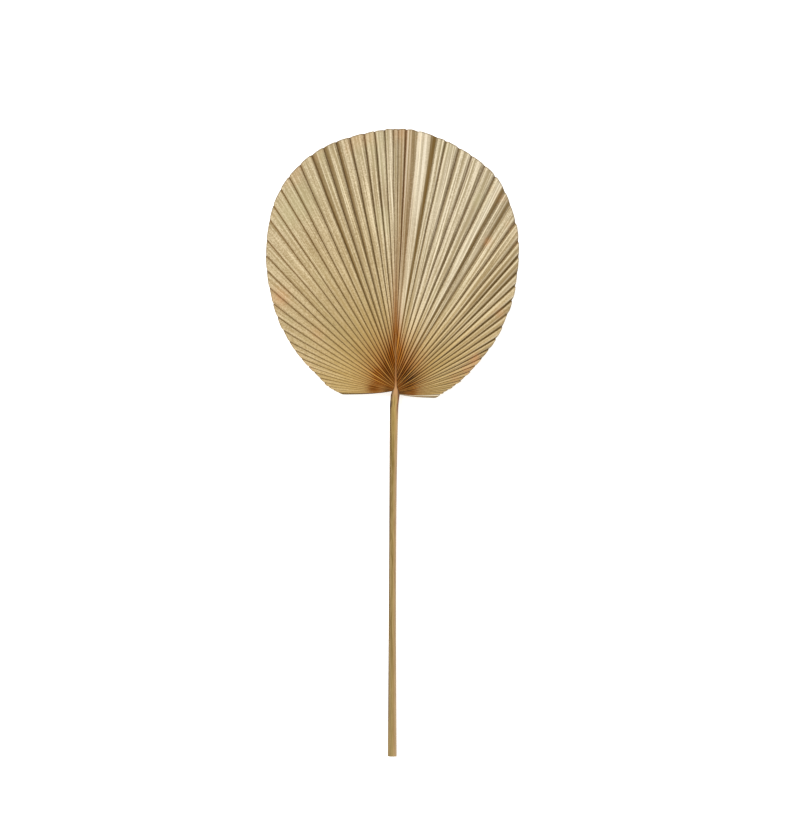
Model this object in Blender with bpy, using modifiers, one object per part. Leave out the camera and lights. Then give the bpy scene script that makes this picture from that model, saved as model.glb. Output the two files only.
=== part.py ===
# Dried fan palm leaf, cut with its stalk and lying on a surface with its face up
# Metres, +Z up. The stalk runs towards -Y and the pleated blade opens towards +Y.
# The origin is at the bottom centre of the whole leaf's box. The leaf is modelled from its heart,
# the point where the stalk meets the blade, and is then moved so that its box is centred.
import bmesh
import bpy
import numpy as np

LEAF = "dried_fan_palm_leaf"

# Stalk, measured from the heart towards the foot
STALK_LENGTH = 0.589
STALK_WAIST_WIDTH = 0.0115      # the narrowest stretch
STALK_END_WIDTH = 0.0145        # beside the blade and at the cut foot
STALK_WAIST_PLACE = -0.245
STALK_THICKNESS_SHARE = 0.66    # of the width
STALK_STEP = 0.0022             # how far the stalk steps to the left just below the heart
STALK_STEP_LENGTH = 0.035
STALK_LEAN = 0.0038             # how far it drifts further left on its way down
STALK_LEAN_LENGTH = 0.180
STALK_FLAT_LENGTH = 0.070       # stretch of the foot that lies on the surface
STALK_FLAT_DEPTH = 0.0009       # how much of the round underside the flat spot takes away
STALK_RISE = 0.0125             # rise of the stalk's axis from the foot to the heart
SECTION_TOP_POWER = 0.55        # below 1, the section's rounding is boxy
SECTION_UNDER_POWER = 0.85

# Costa, the stalk's tapering end inside the blade
COSTA_LENGTH = 0.078
COSTA_BASE_HALF_WIDTH = 0.0072
COSTA_TIP_HALF_WIDTH = 0.0011
COSTA_TAPER_POWER = 4.5         # it narrows fast at its base and slowly further up
COSTA_CROWN = 0.0008            # how far its top stands above the blade
COSTA_TIP_DEPTH = 0.0012
HASTULA_RISE = 0.0012           # the small lip where the blade begins
HASTULA_LENGTH = 0.012
COSTA_TURN = -0.012             # the stalk's section turns into the costa's from here to the heart

# Blade outline: angle from +Y in degrees, positive to +X, and distance from the heart in metres
RIM = (
    (-98, 0.086), (-91, 0.104), (-79, 0.135), (-67, 0.185), (-55, 0.241), (-43, 0.304),
    (-31, 0.363), (-19, 0.396), (-7, 0.407), (2, 0.411), (14, 0.396), (26, 0.370),
    (38, 0.316), (50, 0.250), (62, 0.189), (74, 0.136), (86, 0.101), (99, 0.073),
    (106, 0.066),
)
MARGINS = (-98, 99)             # where the rim meets the outermost common pleats
FOLD_ANGLE = 105.5              # the right margin carries one more pleat, a broad one
RIM_TOOTH = 0.0016              # how far each pleat's corner stands out of the cut rim

# Pleats
SHEET_THICKNESS = 0.0008
PLEAT_DEPTH = 0.0056
PLEAT_DEPTH_SHARE = 0.45        # depth over width, where the pleats are narrow
PLEAT_FLAT_BELOW = 0.0012       # pleats narrower than this are flat
# grooves of the fan's greater part, where narrow and wide pleats stand side by side
MIDDLE_GROOVES = (
    -55.7, -51.7, -47.9, -44.5, -41.1, -37.0, -34.0, -30.0, -26.8, -23.3, -19.9, -16.8, -13.6, -10.3,
    -7.2, -4.75, -2.4, -0.5, 0.6, 2.4, 5.0, 9.6, 11.5, 14.9, 18.3, 21.9, 25.2, 29.2, 32.2, 35.9, 39.9,
    43.3, 46.6, 49.6,
)
PITCH_ANGLES = (20, 50, 80, 100)
PITCH_DEGREES = (3.4, 3.7, 3.3, 2.9)
PITCH_JITTER = 0.10
WALL_SHARE_HEART = 0.32         # share of a pleat that each groove wall takes
WALL_ANGLES = (-12, 8)
LEFT_WALL_SHARES = (0.17, 0.18) # the same at the rim, for pleats left and right of these angles
RIGHT_WALL_SHARES = (0.20, 0.26)
WALL_REACH = 0.33               # share of the way to the rim over which one turns into the other
WALL_SPREAD = 0.4               # shift of the top's shoulders, over the sheet's thickness
VALLEY_THICKNESS_SHARE = 1.3    # height of the sheet at a groove's line, over its thickness
PANEL_TILT = 0.10               # seeded difference between a panel's two edges, over the depth
VALLEY_SHARE = 0.7              # share of the depth that lies below the blade's mean surface
# grooves with a broad wall: angle, and the shares of the pleats to its left and right
BROAD_WALLS = (
    (-19.9, 0.20, 0.40), (-16.8, 0.20, 0.40), (-13.6, 0.20, 0.36), (5.0, 0.60, 0.15),
    (9.6, 0.32, 0.20), (29.2, 0.34, 0.20), (32.2, 0.45, 0.20),
)
MARGIN_ROLL = 0.0030            # how far the two margins turn down below their pleats
SEED = 7

# Where the pleats leave the costa, and how they bend
ATTACH_TOP = 0.087
ATTACH_FALL_DEGREES = 14.0
ATTACH_DROP_LEFT = 0.0065
ATTACH_DROP_RIGHT = 0.0110
ATTACH_DROP_DEGREES = 100.0
ATTACH_DROP_POWER = 1.5
ATTACH_ROUND_DEGREES = 0.9
SEAM_GAP = 0.0004               # clearance between the blade and the costa
BEND_PLACE = 0.3
BEND_SAG = 0.05
BEND_FROM_DEGREES = 20.0
BEND_SPAN_DEGREES = 50.0

# The blade's arch
HEART_SHEET_HEIGHT = 0.0185
ARCH_SLOPE = 0.046
ARCH_CURVE = 0.165              # per metre
RIPPLE = 0.0012
RIPPLE_RADIUS = 0.2
RIPPLE_WAVES = 2.6              # per radian round the heart
RIPPLE_TURN = 0.8
SIDE_FROM = 0.10                # the sides are what lies further out than this

BLADE_ROWS = 9
ROW_CROWDING = 1.5              # rows stand closer towards the heart
STALK_SIDES = 16
STALK_ROWS = 20
COSTA_ROWS = 14
MERGE_DISTANCE = 0.00001
SHARP_DEGREES = 35.0


def smooth_step(value, start, end):
    """Goes from 0 at start to 1 at end with level ends."""
    share = np.clip((value - start) / (end - start), 0.0, 1.0)
    return share * share * (3.0 - 2.0 * share)


def smooth_through(points, at):
    """Cubic curve through (place, value) points, with slopes taken from the neighbours."""
    place = np.array([point[0] for point in points], dtype=float)
    value = np.array([point[1] for point in points], dtype=float)
    slope = np.gradient(value, place)
    index = np.clip(np.searchsorted(place, at) - 1, 0, len(place) - 2)
    span = place[index + 1] - place[index]
    share = (at - place[index]) / span
    start = (1.0 + 2.0 * share) * (1.0 - share) ** 2 * value[index]
    start_slope = share * (1.0 - share) ** 2 * span * slope[index]
    end = share ** 2 * (3.0 - 2.0 * share) * value[index + 1]
    end_slope = share ** 2 * (share - 1.0) * span * slope[index + 1]
    return start + start_slope + end + end_slope


def costa_half_width(y):
    """Half the costa's width, from its full base to its slender tip."""
    share = np.clip((y - COSTA_TURN) / (COSTA_LENGTH - COSTA_TURN), 0.0, 1.0)
    taper = (COSTA_BASE_HALF_WIDTH - COSTA_TIP_HALF_WIDTH) * (1.0 - share) ** COSTA_TAPER_POWER
    return taper + COSTA_TIP_HALF_WIDTH


def stalk_middle(y):
    """The stalk steps to the left at the heart and then drifts on."""
    drift = STALK_LEAN * (1.0 - np.exp(np.minimum(y, 0.0) / STALK_LEAN_LENGTH))
    return -STALK_STEP * smooth_step(-y, 0.0, STALK_STEP_LENGTH) - drift


def sheet_height(y):
    """Height of the blade's mean surface along the middle of the leaf."""
    return HEART_SHEET_HEIGHT + ARCH_SLOPE * y - ARCH_CURVE * y * y


def pleat_valleys(rng):
    """Angles of the grooves, from the left margin to the right one, in degrees.

    On each side they are spaced outwards from the middle ones, and end on the margin. The broad
    fold follows at the right.
    """
    sides = []
    for first, margin in zip((MIDDLE_GROOVES[0], MIDDLE_GROOVES[-1]), MARGINS):
        steps = [0.0]
        while steps[-1] < abs(margin - first):
            pitch = np.interp(abs(first) + steps[-1], PITCH_ANGLES, PITCH_DEGREES)
            steps.append(steps[-1] + pitch * (1.0 + rng.uniform(-PITCH_JITTER, PITCH_JITTER)))
        sides.append(first + np.array(steps[1:]) * (margin - first) / steps[-1])
    return np.concatenate((sides[0][::-1], MIDDLE_GROOVES, sides[1], (FOLD_ANGLE,)))


def pleat_columns(valleys, rng):
    """Each pleat is a groove line and a raised panel between a left and a right shoulder.

    Returns per column its pleat, its shares of the pleat's width at the heart and at the rim,
    its side, which is 0 for a groove, -1 for a left shoulder and 1 for a right one, and its height
    as a share of the depth.
    """
    count = len(valleys) - 1
    left = np.interp(valleys[:-1], WALL_ANGLES, LEFT_WALL_SHARES)
    right = np.interp(valleys[1:], WALL_ANGLES, RIGHT_WALL_SHARES)
    for angle, before, after in BROAD_WALLS:
        groove = np.argmin(abs(valleys - angle))
        right[groove - 1] = before
        left[groove] = after
    tilt = rng.uniform(-PANEL_TILT, PANEL_TILT, count)
    pleat = np.repeat(np.arange(count), 3)
    low = np.zeros(count)
    near = np.stack((low, np.full(count, WALL_SHARE_HEART), np.full(count, 1.0 - WALL_SHARE_HEART)), 1)
    far = np.stack((low, left, 1.0 - right), 1)
    side = np.tile((0, -1, 1), count)
    height = np.stack((low - VALLEY_SHARE, 1.0 - VALLEY_SHARE + tilt, 1.0 - VALLEY_SHARE - tilt), 1)
    last = count - 1
    pleat = np.append(pleat, last)
    near = np.append(near, 1.0)
    far = np.append(far, 1.0)
    side = np.append(side, 0)
    height = np.append(height, -VALLEY_SHARE)
    return pleat, near, far, side, height


def attach_points(angle):
    """Where a pleat line leaves the costa's flank: central ones high up, outer ones at the heart."""
    steep = np.abs(angle)
    most = np.where(angle < 0.0, ATTACH_DROP_LEFT, ATTACH_DROP_RIGHT)
    drop = most * (steep / ATTACH_DROP_DEGREES) ** ATTACH_DROP_POWER
    y = ATTACH_TOP * np.exp(-steep / ATTACH_FALL_DEGREES) - drop
    flank = np.sign(angle) * np.minimum(1.0, steep / ATTACH_ROUND_DEGREES)
    return stalk_middle(y) + flank * (costa_half_width(y) + SEAM_GAP), y


def pleat_lines(angle, side, along):
    """Points of the pleat lines, one row per share of the way from the costa to the rim.

    Each line is a quadratic curve that leaves the costa rather level and bends up to the rim.
    """
    start_x, start_y = attach_points(angle)
    radius = smooth_through(RIM, angle) + RIM_TOOTH * np.abs(side)
    end_x = radius * np.sin(np.radians(angle))
    end_y = radius * np.cos(np.radians(angle))
    turn = smooth_step(np.abs(angle), BEND_FROM_DEGREES, BEND_FROM_DEGREES + BEND_SPAN_DEGREES)
    sag = BEND_SAG * turn * np.sign(angle)
    chord_x, chord_y = end_x - start_x, end_y - start_y
    middle_x = start_x + BEND_PLACE * chord_x + sag * chord_y
    middle_y = start_y + BEND_PLACE * chord_y - sag * chord_x
    s = along[:, None]
    x = (1 - s) ** 2 * start_x + 2 * s * (1 - s) * middle_x + s ** 2 * end_x
    y = (1 - s) ** 2 * start_y + 2 * s * (1 - s) * middle_y + s ** 2 * end_y
    return x, y


def pleat_widths(valleys, along):
    """Width of each pleat on each row, square to its own line."""
    x, y = pleat_lines(valleys, 0, along)
    run_x, run_y = np.gradient(x, axis=0), np.gradient(y, axis=0)
    length = np.hypot(run_x, run_y)[:, :-1]
    return np.abs(np.diff(x, axis=1) * run_y[:, :-1] - np.diff(y, axis=1) * run_x[:, :-1]) / length


def blade_faces():
    """The sheet's underside and top, each as arrays x, y and z of rows by columns.

    The top's shoulders stand a little nearer to the grooves, so that the walls keep their thickness.
    """
    rng = np.random.default_rng(SEED)
    valleys = pleat_valleys(rng)
    pleat, near, far, side, height = pleat_columns(valleys, rng)
    along = (np.arange(BLADE_ROWS + 1) / BLADE_ROWS) ** ROW_CROWDING
    across = pleat_widths(valleys, along)
    wanted = PLEAT_DEPTH_SHARE * np.maximum(0.0, across - PLEAT_FLAT_BELOW)
    depth = PLEAT_DEPTH * np.tanh(wanted / PLEAT_DEPTH)
    # a groove takes the depth of the shallower pleat beside it
    before = depth[:, np.maximum(pleat - 1, 0)]
    own = np.where(side != 0, depth[:, pleat], np.minimum(depth[:, pleat], before))
    narrow = np.exp(-along / WALL_REACH)[:, None]
    share = near * narrow + far * (1.0 - narrow)
    spread = np.minimum(WALL_SPREAD * SHEET_THICKNESS / across[:, pleat], min(LEFT_WALL_SHARES) / 2)
    margin = np.zeros(len(pleat))
    margin[[0, -1]] = MARGIN_ROLL
    faces = []
    for lift, shift in ((0.0, 0.0), (SHEET_THICKNESS, 1.0)):
        angle = valleys[pleat] + (share + shift * spread * side) * np.diff(valleys)[pleat]
        x = np.empty(share.shape)
        y = np.empty(share.shape)
        for row in range(len(along)):
            x[row], y[row] = np.squeeze(pleat_lines(angle[row], side, along[row:row + 1]), 1)
        waves = np.sin(RIPPLE_WAVES * np.arctan2(x, y) + RIPPLE_TURN)
        ripple = RIPPLE * (np.hypot(x, y) / RIPPLE_RADIUS) ** 2 * waves
        thick = lift * np.where(side != 0, 1.0, VALLEY_THICKNESS_SHARE)
        faces.append((x, y, sheet_height(y) + ripple + own * height - margin + thick))
    # each side droops until its lowest pleat touches the surface
    x, y, z = faces[0]
    droop = [(z[reach] / x[reach] ** 2).min() for reach in (x < -SIDE_FROM, x > SIDE_FROM)]
    return [(x, y, z - np.where(x < 0.0, droop[0], droop[1]) * x ** 2) for x, y, z in faces]


def grid_mesh(name, rows, columns):
    """A flat grid, whose points come row after row from the left."""
    bm = bmesh.new()
    bmesh.ops.create_grid(bm, x_segments=columns - 1, y_segments=rows - 1, size=0.5)
    mesh = bpy.data.meshes.new(name)
    bm.to_mesh(mesh)
    bm.free()
    return mesh


def shape_grid(name, x, y, z):
    """A grid mesh whose points are moved to the given places."""
    mesh = grid_mesh(name, *x.shape)
    mesh.vertices.foreach_set("co", np.stack((x, y, z), -1).astype(np.float32).ravel())
    mesh.update()
    return mesh


def make_blade(collection):
    """The pleated fan: one grid, thickened, whose two faces then take their own places."""
    under, top = blade_faces()
    mesh = shape_grid("blade", *under)
    bm = bmesh.new()
    bm.from_mesh(mesh)
    bmesh.ops.triangulate(bm, faces=bm.faces, quad_method="SHORT_EDGE")
    bm.to_mesh(mesh)
    bm.free()
    blade = bpy.data.objects.new("blade", mesh)
    collection.objects.link(blade)
    sheet = blade.modifiers.new("Sheet", "SOLIDIFY")
    sheet.thickness = SHEET_THICKNESS
    sheet.offset = 1.0
    depsgraph = bpy.context.evaluated_depsgraph_get()
    solid = bpy.data.meshes.new_from_object(blade.evaluated_get(depsgraph), depsgraph=depsgraph)
    blade.modifiers.clear()
    blade.data = solid
    # the thickened mesh lists its top points first and its underside after them
    places = np.concatenate([np.stack(face, -1).reshape(-1, 3) for face in (top, under)])
    solid.vertices.foreach_set("co", places.astype(np.float32).ravel())
    solid.update()
    return blade


def stalk_sections():
    """Half width, half height and axis height of the stalk at each place along it."""
    lower = np.linspace(-STALK_LENGTH, -STALK_LENGTH + STALK_FLAT_LENGTH, 3)
    stalk = np.linspace(lower[-1], COSTA_TURN, STALK_ROWS)[1:]
    costa = np.linspace(COSTA_TURN, COSTA_LENGTH, COSTA_ROWS)[1:]
    y = np.concatenate((lower, stalk, costa))
    reach = np.where(y < STALK_WAIST_PLACE, STALK_LENGTH + STALK_WAIST_PLACE, -STALK_WAIST_PLACE)
    flare = ((y - STALK_WAIST_PLACE) / reach) ** 2
    width = STALK_WAIST_WIDTH + (STALK_END_WIDTH - STALK_WAIST_WIDTH) * flare
    half_width = np.where(y > COSTA_TURN, costa_half_width(y), width / 2)
    stalk_half_height = half_width * STALK_THICKNESS_SHARE
    rise = np.maximum(y + STALK_LENGTH - STALK_FLAT_LENGTH, 0.0) / (STALK_LENGTH - STALK_FLAT_LENGTH)
    axis = stalk_half_height[0] - STALK_FLAT_DEPTH + STALK_RISE * rise ** 2
    # in the blade, the top follows the sheet and the keel fades out
    lip = HASTULA_RISE * np.exp(-((y - COSTA_TURN) / HASTULA_LENGTH) ** 2)
    top = sheet_height(y) + SHEET_THICKNESS + COSTA_CROWN + lip
    inside = smooth_step(y, 2 * COSTA_TURN, 0.0)
    stalk_top = axis + stalk_half_height
    stalk_bottom = axis - stalk_half_height
    tip = np.clip(y / COSTA_LENGTH, 0.0, 1.0)
    keel = (top - stalk_bottom) * (1.0 - tip) + 2.0 * COSTA_TIP_DEPTH * tip
    upper = stalk_top * (1.0 - inside) + top * inside
    under = stalk_bottom * (1.0 - inside) + (top - keel) * inside
    return y, half_width, (upper - under) / 2, (upper + under) / 2


def make_petiole(collection):
    """The stalk and costa: a section with a flattish top and a round underside, carried along."""
    y, half_width, half_height, axis = stalk_sections()
    turn = np.linspace(0.0, 2.0 * np.pi, STALK_SIDES + 1)
    across, up = np.cos(turn), np.sin(turn)
    boxy = np.where(up > 0.0, SECTION_TOP_POWER, SECTION_UNDER_POWER)
    section_x = np.sign(across) * np.abs(across) ** boxy
    section_z = np.sign(up) * np.abs(up) ** boxy
    x = stalk_middle(y)[:, None] + half_width[:, None] * section_x
    z = np.maximum(axis[:, None] + half_height[:, None] * section_z, 0.0)
    mesh = shape_grid("petiole", x, np.repeat(y[:, None], len(turn), 1), z)
    bm = bmesh.new()
    bm.from_mesh(mesh)
    bmesh.ops.remove_doubles(bm, verts=bm.verts, dist=MERGE_DISTANCE)
    bmesh.ops.holes_fill(bm, edges=[edge for edge in bm.edges if edge.is_boundary], sides=0)
    bmesh.ops.recalc_face_normals(bm, faces=bm.faces)
    bm.to_mesh(mesh)
    bm.free()
    mesh.shade_smooth()
    mesh.set_sharp_from_angle(angle=np.radians(SHARP_DEGREES))
    petiole = bpy.data.objects.new("petiole", mesh)
    collection.objects.link(petiole)
    return petiole


def make_material(name, color, roughness):
    """A plain matt plant surface."""
    material = bpy.data.materials.new(name)
    material.use_nodes = True
    shader = material.node_tree.nodes["Principled BSDF"]
    shader.inputs["Base Color"].default_value = (*color, 1.0)
    shader.inputs["Roughness"].default_value = roughness
    shader.inputs["Metallic"].default_value = 0.0
    return material


def centre_leaf(pieces):
    """Moves the pieces so that the box round the whole leaf is centred over the origin."""
    bpy.context.view_layer.update()
    depsgraph = bpy.context.evaluated_depsgraph_get()
    corners = np.array([corner for piece in pieces for corner in piece.evaluated_get(depsgraph).bound_box])
    middle = (corners.min(0) + corners.max(0)) / 2
    for piece in pieces:
        piece.location = (-middle[0], -middle[1], 0.0)


def main():
    for old in list(bpy.data.objects):
        bpy.data.objects.remove(old, do_unlink=True)
    collection = bpy.data.collections.new(LEAF)
    bpy.context.scene.collection.children.link(collection)
    blade = make_blade(collection)
    petiole = make_petiole(collection)
    blade.data.materials.append(make_material("dry_blade", (0.50, 0.38, 0.21), 0.62))
    petiole.data.materials.append(make_material("dry_stalk", (0.36, 0.25, 0.12), 0.55))
    centre_leaf((blade, petiole))


main()
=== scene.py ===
# Dried fan palm leaf: its looks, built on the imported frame
# Metres, +Z up. The leaf lies with its face up, the stalk towards -Y and the blade towards +Y.
import math

import bpy
import numpy as np
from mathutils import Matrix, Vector


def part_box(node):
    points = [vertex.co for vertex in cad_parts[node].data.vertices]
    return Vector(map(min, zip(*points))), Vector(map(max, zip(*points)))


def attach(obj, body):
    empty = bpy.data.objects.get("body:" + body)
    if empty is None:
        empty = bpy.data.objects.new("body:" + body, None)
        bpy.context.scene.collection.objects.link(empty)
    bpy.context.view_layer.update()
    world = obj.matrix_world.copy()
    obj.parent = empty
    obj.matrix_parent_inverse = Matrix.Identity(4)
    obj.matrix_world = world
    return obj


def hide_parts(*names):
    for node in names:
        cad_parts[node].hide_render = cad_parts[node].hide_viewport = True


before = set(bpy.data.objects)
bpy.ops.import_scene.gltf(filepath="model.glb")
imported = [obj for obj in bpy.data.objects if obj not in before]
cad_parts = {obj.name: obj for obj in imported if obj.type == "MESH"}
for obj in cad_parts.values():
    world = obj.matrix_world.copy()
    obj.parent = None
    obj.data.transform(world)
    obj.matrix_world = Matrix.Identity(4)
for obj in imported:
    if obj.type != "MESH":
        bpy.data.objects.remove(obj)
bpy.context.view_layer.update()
print("frame loaded")

# The leaf's form, with the same values as its solids. Places are measured from the heart, the
# point where the stalk meets the blade. Angles are from +Y in degrees, positive towards +X.
# Entries of two rows, here and in the blade's details, hold angles and the values at them.
leafForm = {
    "stalkLength": 0.589,
    "stalkWaistWidth": 0.0115,
    "stalkEndWidth": 0.0145,
    "stalkWaistPlace": -0.245,
    "stalkThicknessShare": 0.66,
    "stalkStep": 0.0022,
    "stalkStepLength": 0.035,
    "stalkLean": 0.0038,
    "stalkLeanLength": 0.180,
    "stalkFlatLength": 0.070,
    "stalkFlatDepth": 0.0009,
    "stalkRise": 0.0125,
    "sectionTopPower": 0.55,
    "sectionUnderPower": 0.85,
    "costaLength": 0.078,
    "costaBaseHalfWidth": 0.0072,
    "costaTipHalfWidth": 0.0011,
    "costaTaperPower": 4.5,
    "costaCrown": 0.0008,
    "costaTipDepth": 0.0012,
    "costaTurn": -0.012,
    "hastulaRise": 0.0012,
    "hastulaLength": 0.012,
    "rim": (
        (-98, 0.086), (-91, 0.104), (-79, 0.135), (-67, 0.185), (-55, 0.241), (-43, 0.304),
        (-31, 0.363), (-19, 0.396), (-7, 0.407), (2, 0.411), (14, 0.396), (26, 0.370),
        (38, 0.316), (50, 0.250), (62, 0.189), (74, 0.136), (86, 0.101), (99, 0.073),
        (106, 0.066),
    ),
    "margins": (-98, 99),
    "foldAngle": 105.5,
    "rimTooth": 0.0016,
    "sheetThickness": 0.0008,
    "pleatDepth": 0.0056,
    "middleGrooves": (
        -55.7, -51.7, -47.9, -44.5, -41.1, -37.0, -34.0, -30.0, -26.8, -23.3, -19.9, -16.8, -13.6,
        -10.3, -7.2, -4.75, -2.4, -0.5, 0.6, 2.4, 5.0, 9.6, 11.5, 14.9, 18.3, 21.9, 25.2, 29.2, 32.2,
        35.9, 39.9, 43.3, 46.6, 49.6,
    ),
    "pitch": ((20, 50, 80, 100), (3.4, 3.7, 3.3, 2.9)),
    "pitchJitter": 0.10,
    "wallShareHeart": 0.32,
    "wallAngles": (-12, 8),
    "leftWallShares": (0.17, 0.18),
    "rightWallShares": (0.20, 0.26),
    "wallReach": 0.33,
    "panelTilt": 0.10,
    "valleyShare": 0.7,
    "broadWalls": (
        (-19.9, 0.20, 0.40), (-16.8, 0.20, 0.40), (-13.6, 0.20, 0.36), (5.0, 0.60, 0.15),
        (9.6, 0.32, 0.20), (29.2, 0.34, 0.20), (32.2, 0.45, 0.20),
    ),
    "marginRoll": 0.0030,
    "seed": 7,
    "attachTop": 0.087,
    "attachFallDegrees": 14.0,
    "attachDropLeft": 0.0065,
    "attachDropRight": 0.0110,
    "attachDropDegrees": 100.0,
    "attachDropPower": 1.5,
    "attachRoundDegrees": 0.9,
    "bendPlace": 0.3,
    "bendSag": 0.05,
    "bendFromDegrees": 20.0,
    "bendSpanDegrees": 50.0,
    "heartSheetHeight": 0.0185,
    "archSlope": 0.046,
    "archCurve": 0.165,
    "ripple": 0.0012,
    "rippleRadius": 0.2,
    "rippleWaves": 2.6,
    "rippleTurn": 0.8,
    "sideFrom": 0.10,
}


def smoothStep(value, start, end):
    # 0 at start, 1 at end, level at both
    share = np.clip((value - start) / (end - start), 0.0, 1.0)
    return share * share * (3.0 - 2.0 * share)


def within(value, start, end):
    # 1 between the two stretches, over which it rises and falls
    return smoothStep(value, *start) * (1.0 - smoothStep(value, *end))


def bump(value, middle, width):
    # a bell of height 1
    return np.exp(-((value - middle) / width) ** 2)


def bumps(station, place, width):
    # a bell at a place across the pleat and one at its mirror place
    return bump(station, place, width) + bump(station, 3.0 - place, width)


def smoothThrough(points, at):
    # cubic through (place, value) points, its slopes taken from the neighbours
    place, value = np.array(points, dtype=float).T
    slope = np.gradient(value, place)
    index = np.clip(np.searchsorted(place, at) - 1, 0, len(place) - 2)
    span = place[index + 1] - place[index]
    share = (at - place[index]) / span
    start = (1.0 + 2.0 * share) * (1.0 - share) ** 2 * value[index]
    startSlope = share * (1.0 - share) ** 2 * span * slope[index]
    end = share ** 2 * (3.0 - 2.0 * share) * value[index + 1]
    endSlope = share ** 2 * (share - 1.0) * span * slope[index + 1]
    return start + startSlope + end + endSlope


def costaHalfWidth(y):
    # tip width plus what is left of the base's extra width, by a power of the way to the tip
    form = leafForm
    share = np.clip((y - form["costaTurn"]) / (form["costaLength"] - form["costaTurn"]), 0.0, 1.0)
    extra = form["costaBaseHalfWidth"] - form["costaTipHalfWidth"]
    return extra * (1.0 - share) ** form["costaTaperPower"] + form["costaTipHalfWidth"]


def stalkMiddle(y):
    # a step to the left below the heart, then a drift that fades out
    form = leafForm
    drift = form["stalkLean"] * (1.0 - np.exp(np.minimum(y, 0.0) / form["stalkLeanLength"]))
    return -form["stalkStep"] * smoothStep(-y, 0.0, form["stalkStepLength"]) - drift


def sheetHeight(y):
    # a parabola along the leaf
    return leafForm["heartSheetHeight"] + leafForm["archSlope"] * y - leafForm["archCurve"] * y * y


# The heart's place in the frame: the stalk's foot is the leaf's lowest y and the foot's left side
# is the petiole's lowest x.
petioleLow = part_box("petiole")[0]
heartX = petioleLow.x - (stalkMiddle(-leafForm["stalkLength"]) - leafForm["stalkEndWidth"] / 2)
heartY = petioleLow.y + leafForm["stalkLength"]


def addObject(name, data):
    made = bpy.data.objects.new(name, data)
    bpy.context.scene.collection.objects.link(made)
    return made


def addMesh(name, points, quads, values, sharpDegrees):
    # a mesh object from an array of points and one of quads, moved from the heart to the frame
    mesh = bpy.data.meshes.new(name)
    mesh.from_pydata(points + np.array((heartX, heartY, 0.0)), [], quads.tolist())
    for label, value in values.items():
        kind, field = ("FLOAT", "value") if value.ndim == 1 else ("FLOAT_VECTOR", "vector")
        layer = mesh.attributes.new(label, kind, "POINT")
        layer.data.foreach_set(field, value.astype(np.float32).ravel())
    mesh.validate()
    mesh.shade_smooth()
    mesh.set_sharp_from_angle(angle=math.radians(sharpDegrees))
    return addObject(name, mesh)


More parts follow.
